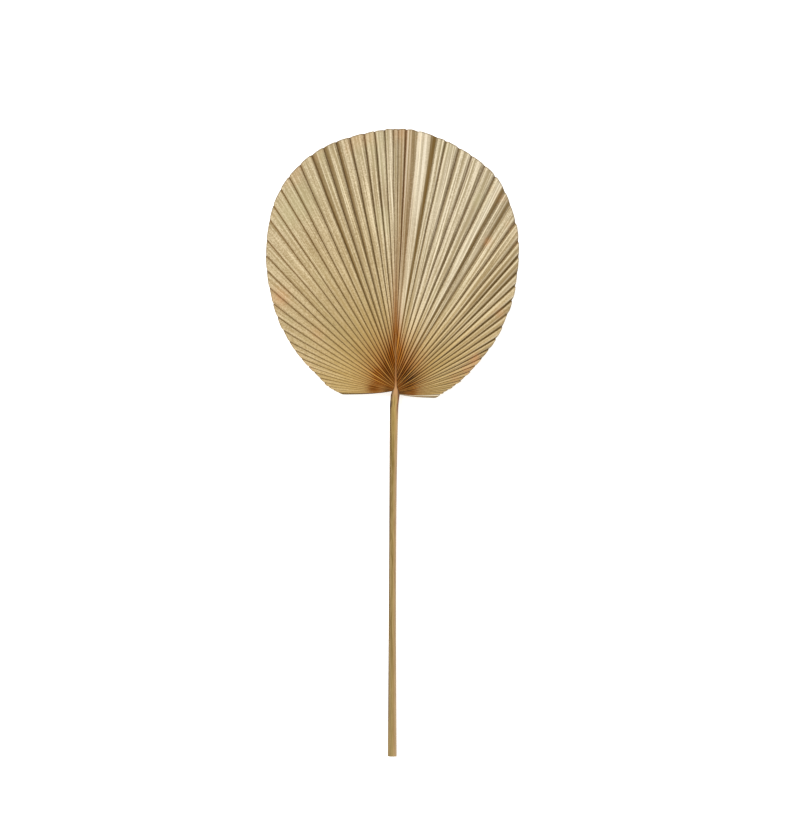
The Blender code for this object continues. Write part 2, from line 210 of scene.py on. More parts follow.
# Blade
bladeDetail = {
    "rows": 64,
    "rowCrowding": 1.3,
    # stations across a pleat: 0 groove, 1 left shoulder, 2 right shoulder, 3 next groove
    "stations": (0.0, 0.24, 0.55, 0.86, 1.0, 1.16, 1.5, 1.84, 2.0, 2.14, 2.45, 2.76),
    "depthShare": 0.47,  # depth over width, where the pleats are narrow
    "flatBelow": 0.0005,
    "ribDrop": 0.00035,  # how far the panels lie below the ribs on the shoulders
    "ribWidth": 0.11,
    # the ribs' pale lines with painted highlight are this much wider where the pleats are narrower than the
    # width given
    "ribSpread": 0.20,
    "ribSpreadWidth": 0.010,
    "ribPleatWidth": 0.008,  # pleats much narrower than this have shallow ribs
    # power of the walls' climb: below 1 they rise steeply from the groove and round off above
    "climb": ((-30, -5, 20), (0.42, 0.70, 0.95)),
    # the panels' tilt is evened out at the left, where the leaf is calmest
    "calm": ((-35, 5), (0.20, 1.0)),
    "lineWobble": 0.09,  # degrees
    "heightWobble": 0.00030,
    "wobbleDepth": 0.002,  # shallower pleats wobble less
    "veinShift": 0.0371,  # sets the veins of neighbouring pleats apart
    "sink": 0.00012,  # how far the sheet lies below the solid's, which keeps it inside
    "rimTrim": 0.0009,
    "rimRandom": 0.0014,
    "rimSlant": 0.0008,
    "notchWidth": 0.55,  # of the rim's notches at the grooves, in stations
    # the rim is cut smooth at the top and toothed at the sides, most of all at the lower right
    "notch": ((-98, -60, -25, 0, 30, 55, 99), (1.5, 1.3, 0.7, 0.5, 1.0, 1.7, 1.6)),
    # half width of the costa's strip at the heart, what it loses on its way up, and its flare below
    "strip": {"halfWidth": 0.0016, "loss": 0.0010, "from": (0.03, 0.085)},
    "hastula": {"flare": 0.0068, "from": (-0.001, 0.013)},
    "stripInside": 0.0004,  # how far the sheet runs in under the strip
    # groove lines, brown and partly painted shade in the grooves' hollows: how dark they are at these
    # angles, and the faint ones among them
    "lineAngles": (-99, -60, -25, -8, 8, 14, 28, 36, 60, 99),
    "lineDark": (0.55, 0.62, 0.86, 0.98, 1.0, 0.80, 0.80, 0.86, 0.80, 0.78),
    "lineWidths": (0.26, 0.24, 0.26, 0.30, 0.33, 0.32, 0.32, 0.35, 0.38, 0.36),  # in stations
    "faintLines": ((-0.5, 0.6), (0.6, 0.3), (5.0, 0.1), (9.6, 0.2), (29.2, 0.5), (32.2, 0.3)),
    # ribs on the shoulders: how pale they are and how much painted highlight they carry
    "ribPaleAndHighlight": ((-99, -60, -25, 0, 15, 60, 99), (0.20, 0.10, 0.25, 0.65, 1.2, 1.0, 0.7)),
    # how lively the threads of colour are
    "live": ((-98, -60, -30, -5, 12, 30, 60, 98), (0.45, 0.36, 0.50, 0.80, 1.15, 1.10, 1.0, 0.8)),
    # how light the panels are between their darkest and lightest colours
    "tone": ((-98, -60, -30, -5, 12, 30, 60, 98), (0.28, 0.26, 0.25, 0.28, 0.28, 0.21, 0.24, 0.30)),
    "toneSpread": 0.09,
    "sharpDegrees": 62.0,
    # painted shade on the right walls, which face away from the light, growing towards the fan's right side
    "wallShade": ((0, 15, 45, 99), (0.0, 0.46, 1.43, 1.76)),
    "wallShadeLeast": 0.2,
    "wallShadePower": 1.6,  # above 1, most walls' painted shade is weak and a few walls' is strong
    "wallShadeFrom": (1.2, 1.95),
    "wallShadeEdge": (-0.2, 0.25),
    "windowSoftness": 0.12,  # of the ends of the stretches given below, in stations
    # parts of pleats, each as the left groove's angle, stations from and to, and strength: painted shade at
    # the rolled margins, brown parts that are partly painted shade on walls turned from the light, and pale
    # parts
    "marginShade": ((-98.0, -0.3, 1.9, 0.95), (99.0, -0.3, 0.5, 0.9)),
    "brown": (
        (-23.3, 2.2, 3.0, 0.35),
        (-19.9, 0.0, 0.95, 0.70), (-16.8, 0.0, 0.95, 0.74), (-13.6, 0.0, 0.95, 0.70),
        (-10.3, 0.0, 0.7, 0.35), (-0.5, 0.4, 3.0, 0.45), (0.6, 0.3, 2.6, 0.50), (2.4, 1.3, 3.2, 0.55),
        (5.0, 2.0, 3.1, 1.3), (25.2, 2.0, 3.2, 0.95), (29.2, 1.9, 3.1, 1.0), (35.9, 2.2, 3.1, 0.5),
        (43.3, 2.0, 3.0, 0.4),
    ),
    # pale parts: the fold's paler underside and paler segments, and painted highlight on panels turned to
    # the light
    "pale": (
        (-4.75, 1.0, 2.0, 0.2), (-2.4, 1.4, 2.2, 0.3), (2.4, 0.75, 1.3, 0.9), (5.0, 0.1, 1.9, 0.75),
        (25.2, 1.2, 2.1, 0.6), (46.6, 1.0, 2.0, 0.5), (11.5, 0.9, 2.0, 0.3), (99.0, 0.4, 3.2, 0.8),
    ),
}


def stripHalfWidth(y):
    # the costa's visible strip: slender in the blade, and widening fast into the hastula below it
    strip, hastula = bladeDetail["strip"], bladeDetail["hastula"]
    flare = hastula["flare"] * smoothStep(-y, *hastula["from"])
    return strip["halfWidth"] - strip["loss"] * smoothStep(y, *strip["from"]) + flare


def pleatGrooves(random):
    # the middle grooves are given, and the others are spaced outwards from them with some jitter
    form = leafForm
    middle = form["middleGrooves"]
    sides = []
    for first, margin in zip((middle[0], middle[-1]), form["margins"]):
        steps = [0.0]
        while steps[-1] < abs(margin - first):
            pitch = np.interp(abs(first) + steps[-1], *form["pitch"])
            jitter = 1.0 + random.uniform(-form["pitchJitter"], form["pitchJitter"])
            steps.append(steps[-1] + pitch * jitter)
        sides.append(first + np.array(steps[1:]) * (margin - first) / steps[-1])
    return np.concatenate((sides[0][::-1], middle, sides[1], (form["foldAngle"],)))


def pleatLines(angle, along, tooth):
    # Quadratic curves from the costa's flank to the rim. The start slides down the costa as the
    # angle grows, and the middle point hangs towards the stalk on the outer lines.
    form = leafForm
    steep = np.abs(angle)
    most = np.where(angle < 0.0, form["attachDropLeft"], form["attachDropRight"])
    drop = most * (steep / form["attachDropDegrees"]) ** form["attachDropPower"]
    startY = form["attachTop"] * np.exp(-steep / form["attachFallDegrees"]) - drop
    flank = np.sign(angle) * np.minimum(1.0, steep / form["attachRoundDegrees"])
    reach = np.minimum(costaHalfWidth(startY), stripHalfWidth(startY)) - bladeDetail["stripInside"]
    startX = stalkMiddle(startY) + flank * reach
    radius = smoothThrough(form["rim"], angle) + tooth
    endX = radius * np.sin(np.radians(angle))
    endY = radius * np.cos(np.radians(angle))
    turn = smoothStep(steep - form["bendFromDegrees"], 0.0, form["bendSpanDegrees"])
    sag = form["bendSag"] * turn * np.sign(angle)
    chordX, chordY = endX - startX, endY - startY
    middleX = startX + form["bendPlace"] * chordX + sag * chordY
    middleY = startY + form["bendPlace"] * chordY - sag * chordX
    rest = 1.0 - along
    x = rest ** 2 * startX + 2.0 * along * rest * middleX + along ** 2 * endX
    y = rest ** 2 * startY + 2.0 * along * rest * middleY + along ** 2 * endY
    return x, y


def windows(grooves, pleat, station, spans):
    # how strongly each column lies in the given stretches of the given pleats, with soft ends
    soft = bladeDetail["windowSoftness"]
    amount = np.zeros(len(station))
    for angle, start, end, strength in spans:
        mine = pleat == np.argmin(abs(grooves - angle))
        inside = within(station, (start - soft, start + soft), (end - soft, end + soft))
        amount = np.maximum(amount, strength * mine * inside)
    return amount


def wallShares(grooves):
    # the parts of each pleat's width that its left and its right wall take, out at the rim
    form = leafForm
    left = np.interp(grooves[:-1], form["wallAngles"], form["leftWallShares"])
    right = np.interp(grooves[1:], form["wallAngles"], form["rightWallShares"])
    for angle, before, after in form["broadWalls"]:
        groove = np.argmin(abs(grooves - angle))
        right[groove - 1] = before
        left[groove] = after
    return left, right


def pleatWidths(grooves, along):
    # the step from each groove's line to the next one, measured square to the line's run
    lineX, lineY = pleatLines(grooves[None, :], along, 0.0)
    runX, runY = np.gradient(lineX, axis=0)[:, :-1], np.gradient(lineY, axis=0)[:, :-1]
    stepX, stepY = np.diff(lineX, axis=1), np.diff(lineY, axis=1)
    return np.abs(stepX * runY - stepY * runX) / np.hypot(runX, runY)


def bladeSurface():
    # The sheet's top over (way along the line, column). Across a pleat the height goes from the
    # groove up a curved wall to a ribbed shoulder, over a slightly sunken panel to the other
    # shoulder and down again. Depth follows the pleat's width, up to a limit.
    form, detail = leafForm, bladeDetail
    random = np.random.default_rng(form["seed"])
    grooves = pleatGrooves(random)
    count = len(grooves) - 1
    left, right = wallShares(grooves)
    calm = np.interp(grooves[:-1], *detail["calm"])
    tilt = calm * random.uniform(-form["panelTilt"], form["panelTilt"], count)
    stations = detail["stations"]
    pleat = np.append(np.repeat(np.arange(count), len(stations)), count - 1)
    station = np.append(np.tile(stations, count), 3.0)
    middleAngle = (grooves[:-1] + grooves[1:])[pleat] / 2
    along = ((np.arange(detail["rows"] + 1) / detail["rows"]) ** detail["rowCrowding"])[:, None]

    width = pleatWidths(grooves, along)
    wanted = detail["depthShare"] * np.maximum(0.0, width - detail["flatBelow"])
    depth = form["pleatDepth"] * np.tanh(wanted / form["pleatDepth"])
    before = np.minimum(depth, np.roll(depth, 1, axis=1))
    after = np.minimum(depth, np.roll(depth, -1, axis=1))
    before[:, 0], after[:, -1] = depth[:, 0], depth[:, -1]

    # place across the pleat
    narrow = np.exp(-along / form["wallReach"])
    leftShare = form["wallShareHeart"] * narrow + left[pleat] * (1.0 - narrow)
    rightShare = (1.0 - form["wallShareHeart"]) * narrow + (1.0 - right[pleat]) * (1.0 - narrow)
    onPanel = leftShare + (station - 1.0) * (rightShare - leftShare)
    share = np.where(station < 1.0, station * leftShare, onPanel)
    share = np.where(station > 2.0, rightShare + (station - 2.0) * (1.0 - rightShare), share)

    # grooves wander a little on their way out
    phase = random.uniform(0.0, 2.0 * np.pi, (3, count + 1))
    waves = sum(np.sin(rate * along * np.pi + phase[n]) / (n + 1) for n, rate in enumerate((2.0, 5.0, 9.0)))
    lines = grooves + detail["lineWobble"] * waves * along
    lines[:, [0, -1]] = grooves[[0, -1]]
    angle = lines[:, pleat] * (1.0 - share) + lines[:, pleat + 1] * share

    # the rim: each pleat is cut a little differently
    cut = random.uniform(0.0, 1.0, count)
    slant = random.uniform(-1.0, 1.0, count)
    shoulder = 1.0 - bumps(station, 0.0, detail["notchWidth"])
    notched = np.interp(middleAngle, *detail["notch"])
    tooth = form["rimTooth"] * (1.0 - notched * (1.0 - shoulder)) - detail["rimTrim"]
    tooth = tooth - detail["rimRandom"] * cut[pleat] * shoulder * notched
    tooth = tooth + detail["rimSlant"] * slant[pleat] * (station - 1.5) * shoulder
    x, y = pleatLines(angle, along, tooth)

    # heights
    own = depth[:, pleat]
    leftLow = -form["valleyShare"] * before[:, pleat]
    rightLow = -form["valleyShare"] * after[:, pleat]
    leftHigh = (1.0 - form["valleyShare"] + tilt[pleat]) * own
    rightHigh = (1.0 - form["valleyShare"] - tilt[pleat]) * own
    low = np.where(station < 1.5, leftLow, rightLow)
    climb = np.clip(np.minimum(station, 3.0 - station), 0.0, 1.0)
    climb = climb ** np.interp(middleAngle, *detail["climb"])
    panel = leftHigh + (rightHigh - leftHigh) * np.clip(station - 1.0, 0.0, 1.0)
    height = low + (panel - low) * climb
    rib = bumps(station, 1.0, detail["ribWidth"])
    middle = np.sin(np.pi * station / 3.0)
    ribDrop = detail["ribDrop"] * np.tanh(width[:, pleat] / detail["ribPleatWidth"])
    height = height - ribDrop * (1.0 - rib) * middle
    swell = sum(np.sin(rate * along * np.pi + phase[n, pleat]) for n, rate in enumerate((3.0, 6.0)))
    wobble = detail["heightWobble"] * np.tanh(own / detail["wobbleDepth"])
    height = height + wobble * (swell / 2.0 - 1.0) * middle

    ripple = form["ripple"] * (np.hypot(x, y) / form["rippleRadius"]) ** 2
    ripple = ripple * np.sin(form["rippleWaves"] * np.arctan2(x, y) + form["rippleTurn"])
    roll = np.zeros(len(station))
    roll[[0, -1]] = form["marginRoll"]
    z = sheetHeight(y) + ripple + height - roll + form["sheetThickness"] - detail["sink"]

    paint = bladePaint(random, grooves, pleat, station, width[:, pleat], calm)
    values = {label: value * np.ones_like(x) for label, value in paint.items()}
    step = np.hypot(np.diff(x, axis=0), np.diff(y, axis=0))
    run = np.concatenate((np.zeros((1, len(station))), np.cumsum(step, axis=0)))
    values["rimDistance"] = run[-1] - run
    # place for the veins: metres across the fan, metres along the pleat, and the pleat's number
    across = width[:, pleat] * share + pleat * detail["veinShift"]
    values["veinPlace"] = np.stack((across, run, pleat + 0.0 * x), -1)
    return x, y, z, values


def bladePaint(random, grooves, pleat, station, width, calm):
    # how strongly each column is a groove, a rib, a stained wall and so on
    detail = bladeDetail
    count = len(grooves) - 1
    middleAngle = (grooves[:-1] + grooves[1:])[pleat] / 2
    climb = np.clip(np.minimum(station, 3.0 - station), 0.0, 1.0)
    lineDark = np.interp(grooves, detail["lineAngles"], detail["lineDark"])
    for angle, strength in detail["faintLines"]:
        lineDark[np.argmin(abs(grooves - angle))] *= strength
    lineDark = np.where(station < 1.5, lineDark[pleat], lineDark[pleat + 1])
    lineWidth = np.interp(middleAngle, detail["lineAngles"], detail["lineWidths"])
    # the groove's line: partly brown, partly painted shade in its hollow
    groove = lineDark * bumps(station, 0.0, lineWidth)
    # painted shade along the margins, where the edge rolls under
    margin = windows(grooves, pleat, station, detail["marginShade"])
    ribPaleAndHighlight = np.interp(middleAngle, *detail["ribPaleAndHighlight"])
    ribSpread = detail["ribWidth"] + detail["ribSpread"] * np.exp(-width / detail["ribSpreadWidth"])
    # each right wall's painted shade starts from its own place on the panel
    wallShade = np.interp(grooves[:-1], *detail["wallShade"])
    wallShade = wallShade * random.uniform(detail["wallShadeLeast"], 1.0, count) ** detail["wallShadePower"]
    wallShadeFrom = random.uniform(*detail["wallShadeFrom"], count)
    wallShade = wallShade[pleat] * smoothStep(station - wallShadeFrom[pleat], *detail["wallShadeEdge"])
    # every other pleat is lighter
    stripe = 0.5 + 0.5 * np.where(np.arange(count) % 2 == 0, -1.0, 1.0) * random.uniform(0.0, 1.0, count)
    tone = np.interp(grooves[:-1], *detail["tone"])
    tone = tone + detail["toneSpread"] * calm * random.normal(0.0, 1.0, count)
    grey = random.uniform(0.0, 1.0, count)
    return {
        "groove": np.maximum(groove, margin),
        # pale ribs with painted highlight
        "rib": ribPaleAndHighlight * bumps(station, 1.0, ribSpread),
        "hollow": 1.0 - climb,
        # painted shade across the panel, near its left rib
        "panel": bump(station, 1.35, 0.35) * ribPaleAndHighlight,
        "tone": tone[pleat],
        "grey": grey[pleat],
        "stripe": stripe[pleat],
        "live": np.interp(middleAngle, *detail["live"]),
        # brown parts, with painted shade on walls turned from the light
        "brown": np.maximum(windows(grooves, pleat, station, detail["brown"]), wallShade),
        "pale": windows(grooves, pleat, station, detail["pale"]),
        "fold": (pleat == count - 1) * smoothStep(station, 0.2, 0.6),
        "margin": margin,
    }


# Tints by their place on the leaf. Distances are from the heart, and pairs of them say where
# something begins and where it has reached its full strength.
heartDetail = {
    # amber round the heart: reach to the right, to the left and along the leaf
    "amberReach": (0.041, 0.047, 0.058),
    "amberMiddle": 0.018,
    "amberPower": 2.4,
    # amber up the middle, a thin thread in it, and a faint streak that leans out to the rim
    "streak": {"strength": 0.68, "width": 0.009, "reach": 0.150},
    "thread": {"strength": 0.306, "width": 0.0030, "from": (0.02, 0.08), "to": (0.10, 0.25)},
    "farStreak": {"strength": 0.218, "width": 0.010, "from": (0.12, 0.25), "lean": 0.045},
    # how far from the heart the golden tint reaches, and where the sheet is silvery
    "goldReach": (
        (-98, -50, -30, -5, 10, 30, 55, 80, 98),
        (0.122, 0.150, 0.150, 0.125, 0.112, 0.104, 0.170, 0.150, 0.105),
    ),
    "silver": ((-60, -30, -10, 4, 12, 28, 38, 60), (0.45, 0.30, 0.30, 0.55, 1.0, 1.0, 0.35, 0.30)),
    "silverFrom": (0.04, 0.16),
    "silverRim": (0.22, 0.38),
    "dullRim": (0.28, 0.38),
    "paleFrom": (0.16, 0.34),  # above the heart the pale pleats reach full strength here
    # a brownish veil on the fan's left side: angle and width, and where it comes and goes
    "veil": {"strength": 0.30, "angle": -38.0, "width": 22.0, "from": (0.03, 0.08), "to": (0.11, 0.25)},
    # painted shade lines beside the costa's strip, where it stands above the sheet: faint in the blade and
    # strong at the hastula
    "besideStrip": {"offset": 0.0003, "width": 0.0011, "faint": 0.25, "more": 0.6},
    "moreFrom": (-0.006, 0.002),
    "besideTo": (0.02, 0.05),
    # spots: place, reach, strength and, where it isn't round, its length over its breadth
    "ambers": ((-0.026, 0.019, 0.010, 0.6), (-0.036, -0.003, 0.009, 0.6), (0.022, -0.006, 0.011, 0.6)),
    # scorched patches, and at (0.010, -0.010) painted shade in the notch of the margin
    "scorchesAndShades": (
        (-0.0135, 0.026, 0.0099, 0.68, 2.71), (0.019, 0.015, 0.0170, 1.05, 0.917),
        (0.010, -0.010, 0.0057, 0.8, 1.5), (-0.013, -0.006, 0.0071, 0.8, 0.8),
        (-0.035, -0.003, 0.009, 0.45, 0.667), (0.021, -0.003, 0.0065, 0.55),
    ),
    "blushes": (
        (-0.184, 0.143, 0.014, 0.8), (-0.126, 0.084, 0.010, 0.4), (0.128, 0.048, 0.006, 0.8),
        (0.124, 0.040, 0.007, 0.8), (0.112, 0.028, 0.007, 0.8), (0.166, 0.118, 0.007, 0.7),
        (0.146, 0.232, 0.006, 0.9), (0.095, 0.014, 0.009, 0.5), (0.006, 0.405, 0.012, 0.5),
    ),
    "greens": (
        (-0.153, 0.296, 0.030, 0.8), (-0.121, 0.373, 0.014, 0.7), (-0.175, 0.270, 0.018, 0.6),
        (-0.138, 0.076, 0.010, 0.5), (-0.170, 0.108, 0.008, 0.5), (0.081, 0.382, 0.016, 0.7),
        (-0.022, 0.395, 0.014, 0.7), (0.020, 0.400, 0.012, 0.5), (0.196, 0.205, 0.012, 0.6),
    ),
}


def spots(x, y, places):
    # the sum of bells of the given reach and strength round the given places
    total = np.zeros_like(x)
    for atX, atY, reach, strength, *shape in places:
        length = shape[0] if shape else 1.0
        total += strength * bump(np.hypot(x - atX, (y - atY) / length), 0.0, reach)
    return total


def heartMasks(x, y, values):
    # adds amber, gold, silver, scorch and the patches, and changes what depends on the place
    detail = heartDetail
    fold, margin = values.pop("fold"), values.pop("margin")
    radius, angle = np.hypot(x, y), np.degrees(np.arctan2(x, y))
    offCosta = x - stalkMiddle(y)
    toRight, toLeft, alongLeaf = detail["amberReach"]
    distance = np.hypot(x / np.where(x > 0.0, toRight, toLeft), (y - detail["amberMiddle"]) / alongLeaf)
    amber = np.exp(-distance ** detail["amberPower"]) + spots(x, y, detail["ambers"])
    streak, thread, far = detail["streak"], detail["thread"], detail["farStreak"]
    fade = np.exp(-((y / streak["reach"]) ** 3).clip(0.0))
    amber += streak["strength"] * bump(offCosta, 0.0, streak["width"]) * fade
    fade = within(y, thread["from"], thread["to"])
    amber += thread["strength"] * bump(offCosta, 0.0005, thread["width"]) * fade
    amber += far["strength"] * bump(offCosta, far["lean"] * y, far["width"]) * smoothStep(y, *far["from"])
    values["amber"] = np.clip(amber, 0.0, 1.0) * (1.0 - 0.9 * fold)

    goldReach = np.interp(angle, *detail["goldReach"])
    values["gold"] = (1.0 - 0.75 * fold) / (1.0 + (radius / goldReach) ** 3)
    silver = np.interp(angle, *detail["silver"])
    silver = silver * smoothStep(radius, *detail["silverFrom"])
    values["silver"] = np.clip(silver + 0.25 * smoothStep(radius, *detail["silverRim"]) + fold, 0.0, 1.0)
    values["tone"] = values["tone"] - 0.05 * smoothStep(radius, *detail["dullRim"])
    lessPale = 0.5 * smoothStep(y, 0.0, 0.03) * (1.0 - smoothStep(radius, *detail["paleFrom"]))
    values["pale"] = values["pale"] * (1.0 - lessPale)
    veil = detail["veil"]
    fade = within(radius, veil["from"], veil["to"])
    veiled = veil["strength"] * bump(angle, veil["angle"], veil["width"]) * fade
    values["brown"] = np.maximum(values["brown"], veiled)
    values["blush"] = spots(x, y, detail["blushes"])
    values["green"] = spots(x, y, detail["greens"])

    # scorched hollows, partly painted shade, and painted shade lines beside the costa's strip and along the
    # rolled margins
    line = detail["besideStrip"]
    beside = bump(np.abs(offCosta) - stripHalfWidth(y), line["offset"], line["width"])
    beside = beside * (line["faint"] + line["more"] * smoothStep(-y, *detail["moreFrom"]))
    beside = beside * (1.0 - smoothStep(y, *detail["besideTo"]))
    scorch = (spots(x, y, detail["scorchesAndShades"]) + beside + 0.6 * margin) * (1.0 - 0.8 * fold)
    values["scorch"] = np.clip(scorch, 0.0, 1.0)
    return values


def closedSheetQuads(rows, columns):
    # top quads, the same turned over for the underside, and a band round the edge
    top = np.arange(rows * columns).reshape(rows, columns)
    quads = np.stack((top[:-1, :-1], top[:-1, 1:], top[1:, 1:], top[1:, :-1]), -1).reshape(-1, 4)
    ring = np.concatenate((top[0, :-1], top[:-1, -1], top[-1, :0:-1], top[:0:-1, 0]))
    nextOne = np.roll(ring, -1)
    band = np.stack((ring + top.size, nextOne + top.size, nextOne, ring), -1)
    return np.concatenate((quads, quads[:, ::-1] + top.size, band))


def makeBlade():
    form = leafForm
    x, y, z, values = bladeSurface()
    values = heartMasks(x, y, values)
    under = z - form["sheetThickness"]
    # each side droops until its lowest pleat touches the surface
    droop = [(under[reach] / x[reach] ** 2).min() for reach in (x < -form["sideFrom"], x > form["sideFrom"])]
    z = z - np.where(x < 0.0, droop[0], droop[1]) * x ** 2
    under = np.maximum(z - form["sheetThickness"], 0.0)
    top = np.stack((x, y, z), -1)
    below = np.stack((x, y, under), -1)
    points = np.concatenate((top.reshape(-1, 3), below.reshape(-1, 3)))
    flat = {}
    for label, value in values.items():
        one = value.reshape(-1, 3) if value.ndim == 3 else value.reshape(-1)
        flat[label] = np.concatenate((one, one))
    flat["underside"] = np.concatenate((np.zeros(x.size), np.ones(x.size)))
    return addMesh("blade_fan", points, closedSheetQuads(*x.shape), flat, bladeDetail["sharpDegrees"])


# Stalk and costa
stalkDetail = {
    "rows": 230,
    "sides": 64,
    "reach": 0.084,  # end of the costa's strip above the heart
    "stripRise": 0.0007,
    "ridge": 0.00022,
    "ridges": 9,
    "ridgeTurn": 1.1,  # turns the ridges round the stalk, in radians
    "ridgeWander": ((0.35, 11.0, 0.0), (0.2, 31.0, 1.0)),  # size, rate and start
    "ridgeSideways": 0.3,  # how much of a ridge goes into the width, and into the height
    "ridgeUpward": 0.6,
    "ridgeFade": (-0.01, 0.04),  # where the ridges fade out towards the costa's tip
    "crease": 0.0006,
    "creasePlace": 0.28,  # right of the middle, as a share of the half width
    "closeRowsFrom": -0.040,  # above this place the rows stand closer together
    "roofDepth": 0.0007,  # how far the top sinks below the sheet beside the strip
    "roofFrom": (-0.012, -0.002),
    "stripEdge": (-0.0002, 0.0006),
    # the cut ends: rings that shrink to a middle point, with a dent
    "endRings": ((0.86, 0.0), (0.5, 0.0005), (0.02, 0.0007)),
    "sharpDegrees": 48.0,
}


def stalkSection(y):
    # Half width, top and underside along the stalk, which flares out from its waist. Inside the
    # blade its top turns into the sheet's, and its keel fades out.
    form = leafForm
    waist = form["stalkWaistPlace"]
    reach = np.where(y < waist, form["stalkLength"] + waist, -waist)
    flare = form["stalkEndWidth"] - form["stalkWaistWidth"]
    width = form["stalkWaistWidth"] + flare * ((y - waist) / reach) ** 2
    halfWidth = np.where(y > form["costaTurn"], costaHalfWidth(y), width / 2)
    halfHeight = halfWidth * form["stalkThicknessShare"]
    flat = form["stalkFlatLength"]
    rise = np.maximum(y + form["stalkLength"] - flat, 0.0) / (form["stalkLength"] - flat)
    axis = halfHeight[0] - form["stalkFlatDepth"] + form["stalkRise"] * rise ** 2
    lip = form["hastulaRise"] * np.exp(-((y - form["costaTurn"]) / form["hastulaLength"]) ** 2)
    top = sheetHeight(y) + form["sheetThickness"] + form["costaCrown"] + lip
    inside = smoothStep(y, 2 * form["costaTurn"], 0.0)
    tip = np.clip(y / form["costaLength"], 0.0, 1.0)
    keel = (top - (axis - halfHeight)) * (1.0 - tip) + 2.0 * form["costaTipDepth"] * tip
    upper = (axis + halfHeight) * (1.0 - inside) + top * inside
    under = (axis - halfHeight) * (1.0 - inside) + (top - keel) * inside
    return halfWidth, upper, under


def makeStalk():
    # A boxy section carried along the stalk. In the blade its top sinks below the sheet, apart
    # from the strip in the middle, which widens into the hastula.
    form, detail = leafForm, stalkDetail
    # two thirds of the rows stand on the lower stalk, and the rest close together at the heart
    lower = np.linspace(-form["stalkLength"], detail["closeRowsFrom"], 2 * detail["rows"] // 3)
    upper = np.linspace(detail["closeRowsFrom"], detail["reach"], detail["rows"] - len(lower) + 1)[1:]
    y = np.concatenate((lower, upper))
    halfWidth, top, under = stalkSection(y)
    turn = np.linspace(0.0, 2.0 * np.pi, detail["sides"], endpoint=False)
    across, up = np.cos(turn), np.sin(turn)
    boxy = np.where(up > 0.0, form["sectionTopPower"], form["sectionUnderPower"])
    sectionX = np.sign(across) * np.abs(across) ** boxy
    sectionZ = np.sign(up) * np.abs(up) ** boxy
    yGrid = np.repeat(y[:, None], len(turn), 1)
    # long ridges: a cosine round the stalk, set in by its own size so that nothing stands out
    fade = 1.0 - smoothStep(yGrid, *detail["ridgeFade"])
    wander = sum(size * np.sin(yGrid * rate + start) for size, rate, start in detail["ridgeWander"])
    ridges = detail["ridge"] * np.cos(detail["ridges"] * turn + detail["ridgeTurn"] + wander) * fade
    inset = ridges + detail["ridge"]
    x = stalkMiddle(yGrid) + (halfWidth[:, None] - inset * detail["ridgeSideways"]) * sectionX
    middle, half = (top + under)[:, None] / 2, (top - under)[:, None] / 2
    z = middle + (half - inset * detail["ridgeUpward"]) * sectionZ
    # the top is creased a little right of its middle
    offset = (x - stalkMiddle(yGrid)) / np.maximum(halfWidth[:, None], 0.001)
    z = z - detail["crease"] * np.abs(offset - detail["creasePlace"]) * smoothStep(up, 0.1, 0.6) * fade
    # inside the blade
    strip = stripHalfWidth(yGrid)
    beside = np.abs(x - stalkMiddle(yGrid))
    rise = 1.0 - smoothStep(beside - strip, *detail["stripEdge"])
    stripTop = detail["roofDepth"] + form["sheetThickness"] + detail["stripRise"]
    roof = sheetHeight(yGrid) - detail["roofDepth"] + stripTop * rise
    inside = smoothStep(yGrid, *detail["roofFrom"])
    z = np.where(up > 0.0, z * (1.0 - inside) + np.minimum(z, roof) * inside, z)
    z = np.maximum(z, 0.0)
    rows, sides = x.shape
    tube = np.arange(rows * sides).reshape(rows, sides)
    following = np.roll(tube, -1, axis=1)
    quads = np.stack((tube[:-1], tube[1:], following[1:], following[:-1]), -1).reshape(-1, 4)
    points = np.stack((x, yGrid, z), -1).reshape(-1, 3)
    values = {"around": offset.reshape(-1), "cut": np.zeros(len(points))}
    faces = [quads]
    for ring, ahead in ((0, False), (rows - 1, True)):
        rim = points[ring * sides:(ring + 1) * sides]
        centre = rim.mean(axis=0)
        last = tube[ring]
        for shrink, dent in detail["endRings"]:
            new = centre + (rim - centre) * shrink
            new[:, 1] += -dent if ahead else dent
            first = len(points)
            points = np.concatenate((points, new))
            ids = np.arange(first, first + sides)
            around = (np.roll(ids, -1), np.roll(last, -1))
            band = (last, ids, *around) if ahead else (last, *around[::-1], ids)
            faces.append(np.stack(band, -1))
            values["around"] = np.append(values["around"], np.zeros(sides))
            values["cut"] = np.append(values["cut"], np.full(sides, 0.0 if ahead else 1.0))
            last = ids
    return addMesh("leaf_stalk", points, np.concatenate(faces), values, detail["sharpDegrees"])


# Shader helpers
def linear(red, green, blue):
    # a colour given in 0 to 255, as light
    share = np.array((red, green, blue)) / 255.0
    light = np.where(share <= 0.04045, share / 12.92, ((share + 0.055) / 1.055) ** 2.4)
    return (*light.tolist(), 1.0)


class Wire:
    # a socket that can be added to, multiplied and so on
    def __init__(self, tree, socket):
        self.tree = tree
        self.socket = socket

    def maths(self, operation, *others):
        return node(self.tree, "ShaderNodeMath", {"operation": operation}, [self, *others])

    def __add__(self, other):
        return self.maths("ADD", other)

    def __mul__(self, other):
        return self.maths("MULTIPLY", other)

    __radd__ = __add__
    __rmul__ = __mul__

    def __sub__(self, other):
        return self.maths("SUBTRACT", other)

    def __rsub__(self, other):
        return node(self.tree, "ShaderNodeMath", {"operation": "SUBTRACT"}, [other, self])

    def clamp(self):
        return node(self.tree, "ShaderNodeClamp", {}, [self, 0.0, 1.0])

    def tinted(self, amount, tint):
        return mixColors(self.tree, amount, self, tint)

    def between(self, low, high):
        # 0 below low and 1 above high
        settings = {"interpolation_type": "SMOOTHSTEP"}
        return node(self.tree, "ShaderNodeMapRange", settings, [self, low, high, 0.0, 1.0])


